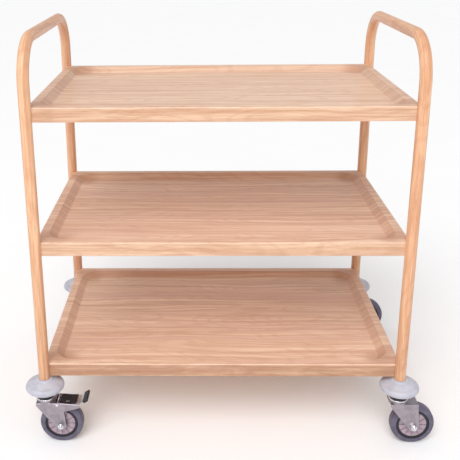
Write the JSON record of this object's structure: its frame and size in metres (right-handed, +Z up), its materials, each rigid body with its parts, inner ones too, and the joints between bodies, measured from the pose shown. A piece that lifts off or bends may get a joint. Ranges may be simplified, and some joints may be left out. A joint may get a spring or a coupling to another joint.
{
  "type": "book cart",
  "caption": "Open tray cart on swivel casters, with end handles bent from the frame tubes, tray shelves and round corner bumpers.",
  "frame": {"origin": "on the floor, under the middle of the whole cart's box", "axes": "+Z up, +X to the right along the trays' long side, +Y to the back"},
  "size_m": [0.941, 0.6, 0.9457],
  "materials": {
    "woodgrain": "satin wood-effect coating on steel",
    "zinc": "bright zinc plate",
    "grey_rubber": "smooth matt",
    "tread_rubber": "matt",
    "hub_plastic": "moulded",
    "black_plastic": "moulded"
  },
  "bodies": {
    "frame": {"left_frame_tube": "woodgrain", "right_frame_tube": "woodgrain", "bottom_tray": "woodgrain", "middle_tray": "woodgrain", "top_tray": "woodgrain", "tray_stiffeners": "woodgrain", "tray_saddles": "zinc", "tray_screws": "zinc", "rivet_nuts": "zinc", "leg_sockets": "zinc", "caster_stems": "zinc", "neck_rings": "black_plastic", "upper_ball_races": "zinc", "swivel_balls": "zinc", "front_left_bumper": "grey_rubber", "front_right_bumper": "grey_rubber", "back_left_bumper": "grey_rubber", "back_right_bumper": "grey_rubber"},
    "front_left_swivel": {"front_left_fork": "zinc", "front_left_axle_bolt": "zinc", "front_left_axle_nut": "zinc", "front_left_axle_sleeve": "zinc", "front_left_brake_pin": "zinc", "front_left_brake_spring": "zinc"},
    "front_left_wheel": {"front_left_wheel_core": "black_plastic", "front_left_tyre": "tread_rubber", "front_left_wheel_covers": "hub_plastic", "front_left_wheel_bearing": "zinc"},
    "front_left_pedal": {"front_left_brake_lever": "zinc", "front_left_pedal_pad": "black_plastic", "front_left_pedal_tip": "black_plastic"},
    "front_right_swivel": {"front_right_fork": "zinc", "front_right_axle_bolt": "zinc", "front_right_axle_nut": "zinc", "front_right_axle_sleeve": "zinc"},
    "front_right_wheel": {"front_right_wheel_core": "black_plastic", "front_right_tyre": "tread_rubber", "front_right_wheel_covers": "hub_plastic", "front_right_wheel_bearing": "zinc"},
    "back_left_swivel": {"back_left_fork": "zinc", "back_left_axle_bolt": "zinc", "back_left_axle_nut": "zinc", "back_left_axle_sleeve": "zinc", "back_left_brake_pin": "zinc", "back_left_brake_spring": "zinc"},
    "back_left_wheel": {"back_left_wheel_core": "black_plastic", "back_left_tyre": "tread_rubber", "back_left_wheel_covers": "hub_plastic", "back_left_wheel_bearing": "zinc"},
    "back_left_pedal": {"back_left_brake_lever": "zinc", "back_left_pedal_pad": "black_plastic", "back_left_pedal_tip": "black_plastic"},
    "back_right_swivel": {"back_right_fork": "zinc", "back_right_axle_bolt": "zinc", "back_right_axle_nut": "zinc", "back_right_axle_sleeve": "zinc"},
    "back_right_wheel": {"back_right_wheel_core": "black_plastic", "back_right_tyre": "tread_rubber", "back_right_wheel_covers": "hub_plastic", "back_right_wheel_bearing": "zinc"}
  },
  "joints": [
    {"name": "front_left_caster_swivel", "type": "hinge", "parent": "frame", "child": "front_left_swivel", "pos_m": [-0.4265, -0.256, 0.1125], "axis": [0, 0, 1], "continuous": true},
    {"name": "front_left_wheel_roll", "type": "hinge", "parent": "front_left_swivel", "child": "front_left_wheel", "pos_m": [-0.3915, -0.256, 0.05], "axis": [0, 1, 0], "continuous": true},
    {"name": "front_left_brake_press", "type": "hinge", "parent": "front_left_swivel", "child": "front_left_pedal", "pos_m": [-0.398, -0.256, 0.1046], "axis": [0, 1, 0], "range_deg": [0, 8]},
    {"name": "front_right_caster_swivel", "type": "hinge", "parent": "frame", "child": "front_right_swivel", "pos_m": [0.3855, -0.256, 0.1125], "axis": [0, 0, 1], "continuous": true},
    {"name": "front_right_wheel_roll", "type": "hinge", "parent": "front_right_swivel", "child": "front_right_wheel", "pos_m": [0.4205, -0.256, 0.05], "axis": [0, 1, 0], "continuous": true},
    {"name": "back_left_caster_swivel", "type": "hinge", "parent": "frame", "child": "back_left_swivel", "pos_m": [-0.4265, 0.256, 0.1125], "axis": [0, 0, 1], "continuous": true},
    {"name": "back_left_wheel_roll", "type": "hinge", "parent": "back_left_swivel", "child": "back_left_wheel", "pos_m": [-0.3915, 0.256, 0.05], "axis": [0, 1, 0], "continuous": true},
    {"name": "back_left_brake_press", "type": "hinge", "parent": "back_left_swivel", "child": "back_left_pedal", "pos_m": [-0.398, 0.256, 0.1046], "axis": [0, 1, 0], "range_deg": [0, 8]},
    {"name": "back_right_caster_swivel", "type": "hinge", "parent": "frame", "child": "back_right_swivel", "pos_m": [0.3855, 0.256, 0.1125], "axis": [0, 0, 1], "continuous": true},
    {"name": "back_right_wheel_roll", "type": "hinge", "parent": "back_right_swivel", "child": "back_right_wheel", "pos_m": [0.4205, 0.256, 0.05], "axis": [0, 1, 0], "continuous": true}
  ]
}
